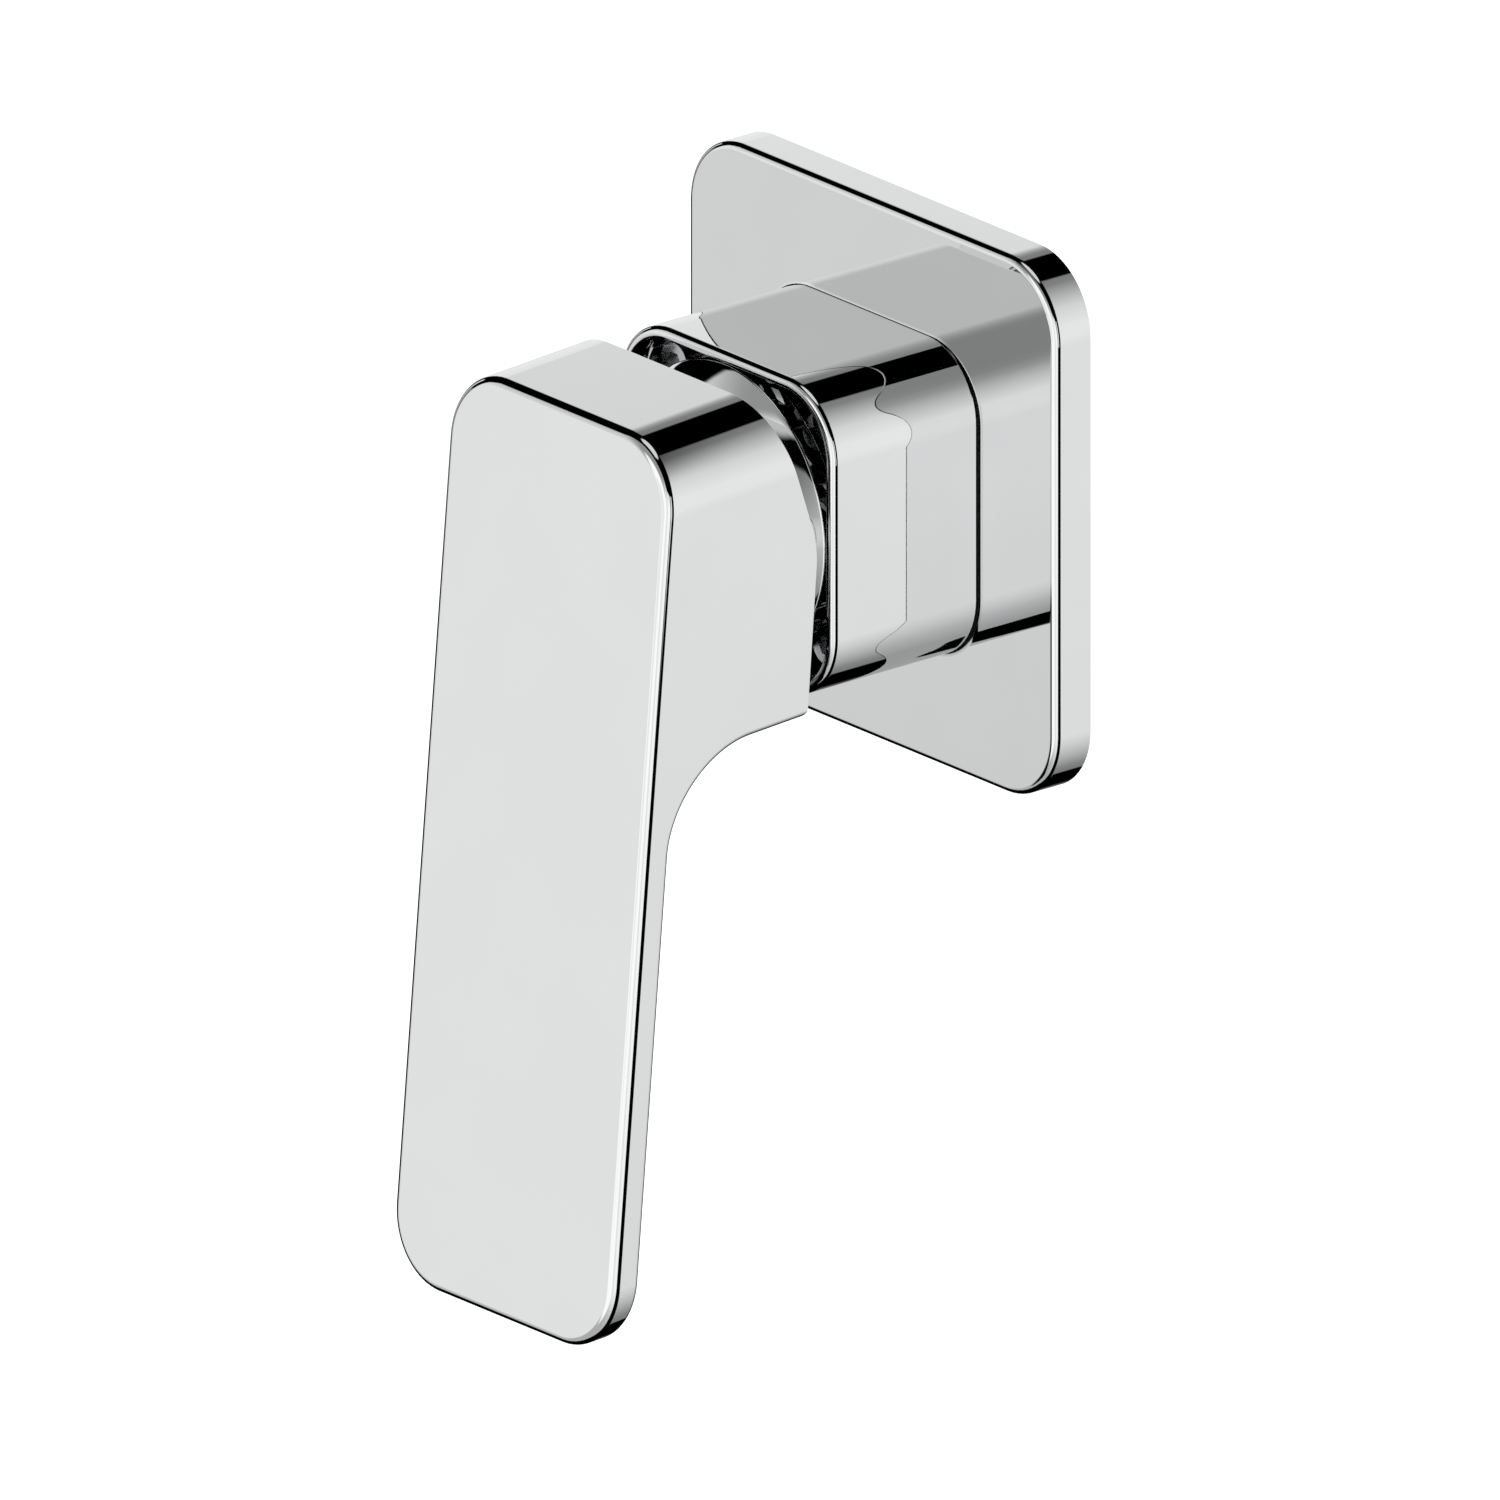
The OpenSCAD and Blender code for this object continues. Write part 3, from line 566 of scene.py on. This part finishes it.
def cast_handle():
    """The outline drawn out to the handle's width, with its edges rounded."""
    bm = bmesh.new()
    side = bm.faces.new([bm.verts.new((-HANDLE_W / 2, up, out)) for out, up in side_outline()])
    spread_out = bmesh.ops.extrude_face_region(bm, geom=[side])
    bmesh.ops.translate(bm, vec=(HANDLE_W, 0, 0), verts=only_vertices(spread_out["geom"]))
    bmesh.ops.recalc_face_normals(bm, faces=bm.faces)

    # The hollow between block and paddle, and the crest of the rear
    hollow_out = paddle_rear(-BLOCK_DROP)
    hollow_edge = edges_between(
        bm, lambda co: abs(co.z - hollow_out) < NEAR and co.y < -BLOCK_DROP + NEAR)
    hollow_angle = math.pi / 2 + FACE_TILT
    soften(bm, hollow_edge, HOLLOW_R / math.tan(hollow_angle / 2), steps=28)
    crest_edge = edges_between(bm, lambda co: abs(co.z - REAR_REACH) < NEAR)
    soften(bm, crest_edge, CREST_R * math.tan((LEAN_LOW + LEAN_HIGH) / 2), steps=8)

    # Round corners seen from the front, at the top of the block and the foot of the paddle
    soften(bm, [e for e in bm.edges if is_handle_corner(e)], HANDLE_CORNER, steps=18)

    # The rolled front edge, the edges below and behind, then a fine break on every other edge
    face_edges = edges_between(bm, lambda co: abs(co.z - face_out(co.y)) < NEAR)
    front = [e for e in face_edges if e.calc_face_angle() > FACE_TURN]
    soften(bm, front, HANDLE_EDGE, steps=8)
    under = [e for e in sharp_edges(bm, HANDLE_TURN)
             if max(e.verts[0].co.y, e.verts[1].co.y) < -BLOCK_DROP + NEAR]
    soften(bm, under, UNDER_EDGE, steps=6)
    soften(bm, sharp_edges(bm, HANDLE_TURN), FINE_BREAK, steps=2)
    return bm


def make_handle():
    pocket_end = FACE_REACH - (POCKET_R * math.sin(FACE_TILT) + FRONT_WALL) / math.cos(FACE_TILT)
    below = BLOCK_DROP + OVERLAP
    bm = carved(cast_handle(), [
        ("DIFFERENCE", ball(DISH_R)),
        ("DIFFERENCE", rod(POCKET_R, 0, pocket_end)),
        ("UNION", rod(HUB_R, HUB_START, pocket_end + OVERLAP)),
        ("UNION", grub_rod(GRUB_BOSS_R, GRUB_BOSS_START, POCKET_R + OVERLAP)),
        ("DIFFERENCE", square_rod(SOCKET_W, 0, SOCKET_END)),
        ("DIFFERENCE", grub_rod(GRUB_BORE_R, 0, below)),
        ("DIFFERENCE", grub_rod(CAP_BORE_R, CAP_SEAT, below)),
    ])
    finished(bm, "lever_casting", "lever", "chrome", LEVER_FRAME, "handle")


make_wall_plate()
make_sleeve()
make_dome()
make_handle()


# Stage: floor, light tent, black card, world and lamp. Lengths are in metres from here on.

class Sums:
    """Writes sums of values as nodes."""

    def __init__(self, tree):
        self.nodes = tree.nodes
        self.links = tree.links

    def put(self, value, socket):
        if isinstance(value, (int, float)):
            socket.default_value = value
        else:
            self.links.new(value, socket)

    def sum(self, operation, first, second=0.0):
        node = self.nodes.new("ShaderNodeMath")
        node.operation = operation
        self.put(first, node.inputs[0])
        self.put(second, node.inputs[1])
        return node.outputs["Value"]

    def both(self, first, second):
        return self.sum("MULTIPLY", first, second)

    def beyond(self, value, start, end, low=0.0, high=1.0):
        """Climbs smoothly from low to high while a value goes from start to end."""
        node = self.nodes.new("ShaderNodeMapRange")
        node.interpolation_type = "SMOOTHSTEP"
        self.put(value, node.inputs["Value"])
        node.inputs["From Min"].default_value = start
        node.inputs["From Max"].default_value = end
        self.put(low, node.inputs["To Min"])
        self.put(high, node.inputs["To Max"])
        return node.outputs["Result"]

    def before(self, value, start, end):
        """Falls smoothly from one to nothing while a value goes from start to end."""
        return self.beyond(value, start, end, 1.0, 0.0)

    def painted(self, tone, area, new_tone):
        """Lays a tone over another one where an area is."""
        return self.beyond(area, 0.0, 1.0, tone, new_tone)

    def without(self, area, hole):
        return self.both(area, self.sum("SUBTRACT", 1.0, hole))

    def ramp(self, value, stops):
        """Tones by an angle, as (degrees, tone) each."""
        node = self.nodes.new("ShaderNodeValToRGB")
        elements = node.color_ramp.elements
        while len(elements) < len(stops):
            elements.new(0.5)
        for element, (degrees, _) in zip(elements, stops):
            element.position = degrees / 360 + 0.5
        for element, (_, tone) in zip(elements, stops):
            element.color = (tone, tone, tone, 1)
        self.put(value, node.inputs["Fac"])
        return node.outputs["Color"]


def stage_object(name, bm, material):
    piece = placed(name, bm)
    piece.data.materials.append(material)
    return piece


def only_in_mirrors(stage_piece):
    """Shows a piece of the stage in metal and nowhere else."""
    stage_piece.visible_camera = False
    stage_piece.visible_diffuse = False
    stage_piece.visible_shadow = False
    stage_piece.visible_transmission = False
    stage_piece.visible_volume_scatter = False


FLOOR_DROP = 1.1
FLOOR_SIZE = 30.0
FLOOR_ROUGHNESS = 0.9
FLOOR_PATTERN = 6
FLOOR_DARK = (0.80, 0.80, 0.80)
FLOOR_LIGHT = (0.83, 0.83, 0.83)
FLOOR_GLOW = 0.6


def floor_material():
    """Pale matt floor that shows as white, to the eye and in metal, and still takes a shadow."""
    material, shader = new_material("pale_floor")
    shader.inputs["Roughness"].default_value = FLOOR_ROUGHNESS
    pattern = noise_on(material, FLOOR_PATTERN)
    tinted(material, shader, pattern, FLOOR_DARK, FLOOR_LIGHT)
    rays = material.node_tree.nodes.new("ShaderNodeLightPath")
    sums = Sums(material.node_tree)
    seen = sums.sum("MAXIMUM", rays.outputs["Is Camera Ray"], rays.outputs["Is Glossy Ray"])
    seen = sums.sum("MAXIMUM", seen, rays.outputs["Is Transmission Ray"])
    sums.put(sums.sum("MULTIPLY", seen, FLOOR_GLOW), shader.inputs["Emission Strength"])
    shader.inputs["Emission Color"].default_value = (1, 1, 1, 1)
    return material


def make_floor():
    bm = bmesh.new()
    bmesh.ops.create_grid(
        bm, x_segments=1, y_segments=1, size=FLOOR_SIZE, matrix=Matrix.Translation((0, 0, -FLOOR_DROP)))
    stage_object("floor", bm, floor_material())


# What polished metal sees, by the angle round the axis that stands out of the wall. 0 is to the
# right, 90 is up, and the light falls off from bright walls to dark slots above and below.
TENT_REAR = [
    (-180, 0.95), (-165, 0.80), (-148, 0.33), (-136, 0.17), (-128, 0.04), (-122, 0.0), (-88.5, 0.0),
    (-87, 0.24), (-76, 0.30), (-64, 0.47), (-52, 0.64), (-40, 0.80), (-28, 0.93), (-10, 1.03),
    (6, 1.03), (20, 0.94), (32, 0.85), (44, 0.66), (56, 0.47), (68, 0.28), (75.5, 0.26), (77, 0.0),
    (120, 0.0), (121.5, 0.25), (130, 0.27), (138, 0.45), (146, 0.78), (155, 0.98), (180, 0.97),
]
TENT_FRONT = [
    (-180, 1.01), (-170, 0.95), (-162, 0.83), (-152, 0.80), (-136, 0.53), (-82, 0.53), (-70, 0.63),
    (-58, 0.74), (-46, 0.91), (-34, 1.06), (-20, 1.18), (-10, 1.22), (6, 1.2), (20, 0.97),
    (28, 0.83), (36, 0.67), (44, 0.50), (54, 0.39), (64, 0.36), (118, 0.36), (126, 0.40),
    (132, 0.47), (139, 0.57), (146, 0.70), (151, 0.78), (158, 0.79), (169, 0.95), (180, 1.01),
]
TENT_R = 1.05

# The tones of the tent's single patches
FRONT_TONE = 1.26
FACE_TONE = 1.05
LEFT_TONE = 0.98
ZENITH_TONE = 0.85
REAR_TONE = 0.80
SLOT_TONE = 0.0
LEFT_SLOT_LIGHT = 0.36

# Where they start and end. Each pair is a soft edge, on the direction's way right (x), towards the
# wall (y), out of the wall (ahead, which is y the other way) or up (z), from -1 to 1.
WALLS_MEET_Y = (-0.45, 0.45)
LEFT_AHEAD = (0.625, 0.65)
LEFT_FOOT_Z = (-0.46, -0.40)
LEFT_TOP_Z = (0.12, 0.20)
FACE_AHEAD = (0.955, 0.975)
PANEL_AHEAD = (0.74, 0.86)
PANEL_X = (-0.34, -0.24)
ZENITH_Z = (0.93, 0.96)
REAR_Y = (0.905, 0.935)

# The slot between the walls: the y of its front edge at the left, right and top and of its back
# edge at the left and right, where one passes into the other, and how soft the edges are
SLOT_FRONT_LEFT = -0.42
SLOT_FRONT_RIGHT = -0.20
SLOT_FRONT_TOP = -0.48
SLOT_BACK_LEFT = 0.36
SLOT_BACK_RIGHT = 0.48
SLOT_FRONT_X = (-0.3, 0.3)
SLOT_FRONT_Z = (0.3, 0.45)
SLOT_BACK_X = (-0.6, -0.4)
SLOT_SOFT = (-0.03, 0.03)

# The slot is open straight to the sides, and half open further forwards at the left
SIDE_OPEN_Y = (0.06, 0.10)
SIDE_OPEN_Z = (0.27, 0.31)
LEFT_OPEN_X = (-0.935, -0.905)
LEFT_OPEN_FOOT_Z = (-0.28, -0.22)
LEFT_OPEN_TOP_Z = (0.05, 0.10)
LEFT_OPEN_Y = (-0.16, -0.12)


def tent_slot(sums, x, y, z):
    """The dark slot between the walls. It runs over the object like an arch."""
    front_below = sums.beyond(x, *SLOT_FRONT_X, SLOT_FRONT_LEFT, SLOT_FRONT_RIGHT)
    front = sums.beyond(z, *SLOT_FRONT_Z, front_below, SLOT_FRONT_TOP)
    into = sums.beyond(sums.sum("SUBTRACT", y, front), *SLOT_SOFT)
    back = sums.beyond(x, *SLOT_BACK_X, SLOT_BACK_LEFT, SLOT_BACK_RIGHT)
    slot = sums.both(into, sums.before(sums.sum("SUBTRACT", y, back), *SLOT_SOFT))
    beside = sums.before(sums.sum("ABSOLUTE", y), *SIDE_OPEN_Y)
    level = sums.before(sums.sum("ABSOLUTE", z), *SIDE_OPEN_Z)
    slot = sums.without(slot, sums.both(beside, level))
    left = sums.both(sums.before(x, *LEFT_OPEN_X), sums.beyond(z, *LEFT_OPEN_FOOT_Z))
    left = sums.both(left, sums.before(z, *LEFT_OPEN_TOP_Z))
    left = sums.both(left, sums.before(y, *LEFT_OPEN_Y))
    return sums.without(slot, sums.both(left, LEFT_SLOT_LIGHT))


def tent_material():
    """Light tent: its inside glows by direction alone."""
    material, glow = new_material("light_tent", "ShaderNodeEmission")
    nodes = material.node_tree.nodes
    links = material.node_tree.links
    sums = Sums(material.node_tree)
    place = nodes.new("ShaderNodeTexCoord")
    unit = nodes.new("ShaderNodeVectorMath")
    unit.operation = "NORMALIZE"
    links.new(place.outputs["Object"], unit.inputs[0])
    parts = nodes.new("ShaderNodeSeparateXYZ")
    links.new(unit.outputs["Vector"], parts.inputs[0])
    x, y, z = parts.outputs["X"], parts.outputs["Y"], parts.outputs["Z"]

    # The two walls of light, one in front of the object and one behind it
    turned = nodes.new("ShaderNodeCombineXYZ")
    links.new(x, turned.inputs["X"])
    links.new(z, turned.inputs["Y"])
    angle = nodes.new("ShaderNodeTexGradient")
    angle.gradient_type = "RADIAL"
    links.new(turned.outputs["Vector"], angle.inputs["Vector"])
    front = sums.ramp(angle.outputs["Fac"], TENT_FRONT)
    rear = sums.ramp(angle.outputs["Fac"], TENT_REAR)
    tone = sums.beyond(y, *WALLS_MEET_Y, front, rear)

    # A calm patch in front, and over all but its left a brighter panel that is calmer straight ahead
    ahead = sums.sum("MULTIPLY", -1.0, y)
    left = sums.both(sums.beyond(ahead, *LEFT_AHEAD), sums.beyond(z, *LEFT_FOOT_Z))
    left = sums.both(left, sums.before(z, *LEFT_TOP_Z))
    tone = sums.painted(tone, left, LEFT_TONE)
    panel_tone = sums.beyond(ahead, *FACE_AHEAD, FRONT_TONE, FACE_TONE)
    panel = sums.both(sums.beyond(ahead, *PANEL_AHEAD), sums.beyond(x, *PANEL_X))
    tone = sums.painted(tone, panel, panel_tone)

    tone = sums.painted(tone, tent_slot(sums, x, y, z), SLOT_TONE)
    tone = sums.beyond(z, *ZENITH_Z, tone, ZENITH_TONE)
    tone = sums.beyond(y, *REAR_Y, tone, REAR_TONE)
    links.new(tone, glow.inputs["Color"])
    return material


def make_tent():
    bm = bmesh.new()
    bmesh.ops.create_icosphere(bm, subdivisions=3, radius=TENT_R)
    only_in_mirrors(stage_object("light_tent", bm, tent_material()))


# A narrow black card above the object. The sleeve's upper corner mirrors it as a black band that runs
# up to the plate. Its front edge bows, so that the light that the wall plate throws forwards meets it,
# and the light that the sleeve throws forwards passes in front of it.
CARD_UP = 0.150
CARD_DEPTH = 0.018
CARD_FRONT = [
    (0.0517, -0.1066), (0.0419, -0.1049), (0.0185, -0.1030), (-0.0048, -0.1042),
    (-0.0295, -0.1086), (-0.0573, -0.1170),
]


def make_card():
    bm = bmesh.new()
    row = [bm.verts.new((across, along, CARD_UP)) for across, along in CARD_FRONT]
    edges = [bm.edges.new(pair) for pair in zip(row, row[1:])]
    drawn = bmesh.ops.extrude_edge_only(bm, edges=edges)
    bmesh.ops.translate(bm, vec=(0, CARD_DEPTH, 0), verts=only_vertices(drawn["geom"]))
    material, dark = new_material("black_card", "ShaderNodeEmission")
    dark.inputs["Color"].default_value = (0, 0, 0, 1)
    only_in_mirrors(stage_object("black_card", bm, material))


WORLD_LIGHT = 0.9
LAMP_SIZE = 1.6
LAMP_POWER = 30
LAMP_PLACE = Vector((1.4, -2.0, 1.6))


def make_world():
    world = bpy.data.worlds.new("studio")
    bpy.context.scene.world = world
    world.use_nodes = True
    background = world.node_tree.nodes["Background"]
    background.inputs["Color"].default_value = (1, 1, 1, 1)
    background.inputs["Strength"].default_value = WORLD_LIGHT


def make_lamp():
    """A soft light from the right, above and in front. The metal doesn't mirror it."""
    data = bpy.data.lights.new("soft_lamp", "AREA")
    data.shape = "SQUARE"
    data.size = LAMP_SIZE
    data.energy = LAMP_POWER
    lamp = bpy.data.objects.new("soft_lamp", data)
    bpy.context.scene.collection.objects.link(lamp)
    lamp.location = LAMP_PLACE
    lamp.rotation_euler = LAMP_PLACE.to_track_quat("Z", "Y").to_euler()
    lamp.visible_glossy = False


make_floor()
make_tent()
make_card()
make_world()
make_lamp()


# Camera: a long lens far away, seen as a straight projection

CAMERA_AZIMUTH = math.radians(50.133)
CAMERA_RISE = math.radians(20.192)
CAMERA_AIM = Vector((-0.00326, -0.02583, -0.03819))
CAMERA_WIDTH = 0.20929
CAMERA_DISTANCE = 2.0
CAMERA_SIGHT = 100


def make_camera():
    data = bpy.data.cameras.new("camera")
    data.type = "ORTHO"
    data.ortho_scale = CAMERA_WIDTH
    data.clip_end = CAMERA_SIGHT
    camera = bpy.data.objects.new("camera", data)
    bpy.context.scene.collection.objects.link(camera)
    back = Vector((
        math.sin(CAMERA_AZIMUTH) * math.cos(CAMERA_RISE),
        -math.cos(CAMERA_AZIMUTH) * math.cos(CAMERA_RISE),
        math.sin(CAMERA_RISE)))
    camera.location = CAMERA_AIM + back * CAMERA_DISTANCE
    camera.rotation_euler = back.to_track_quat("Z", "Y").to_euler()
    bpy.context.scene.camera = camera


make_camera()

bpy.context.scene.view_settings.view_transform = "Standard"
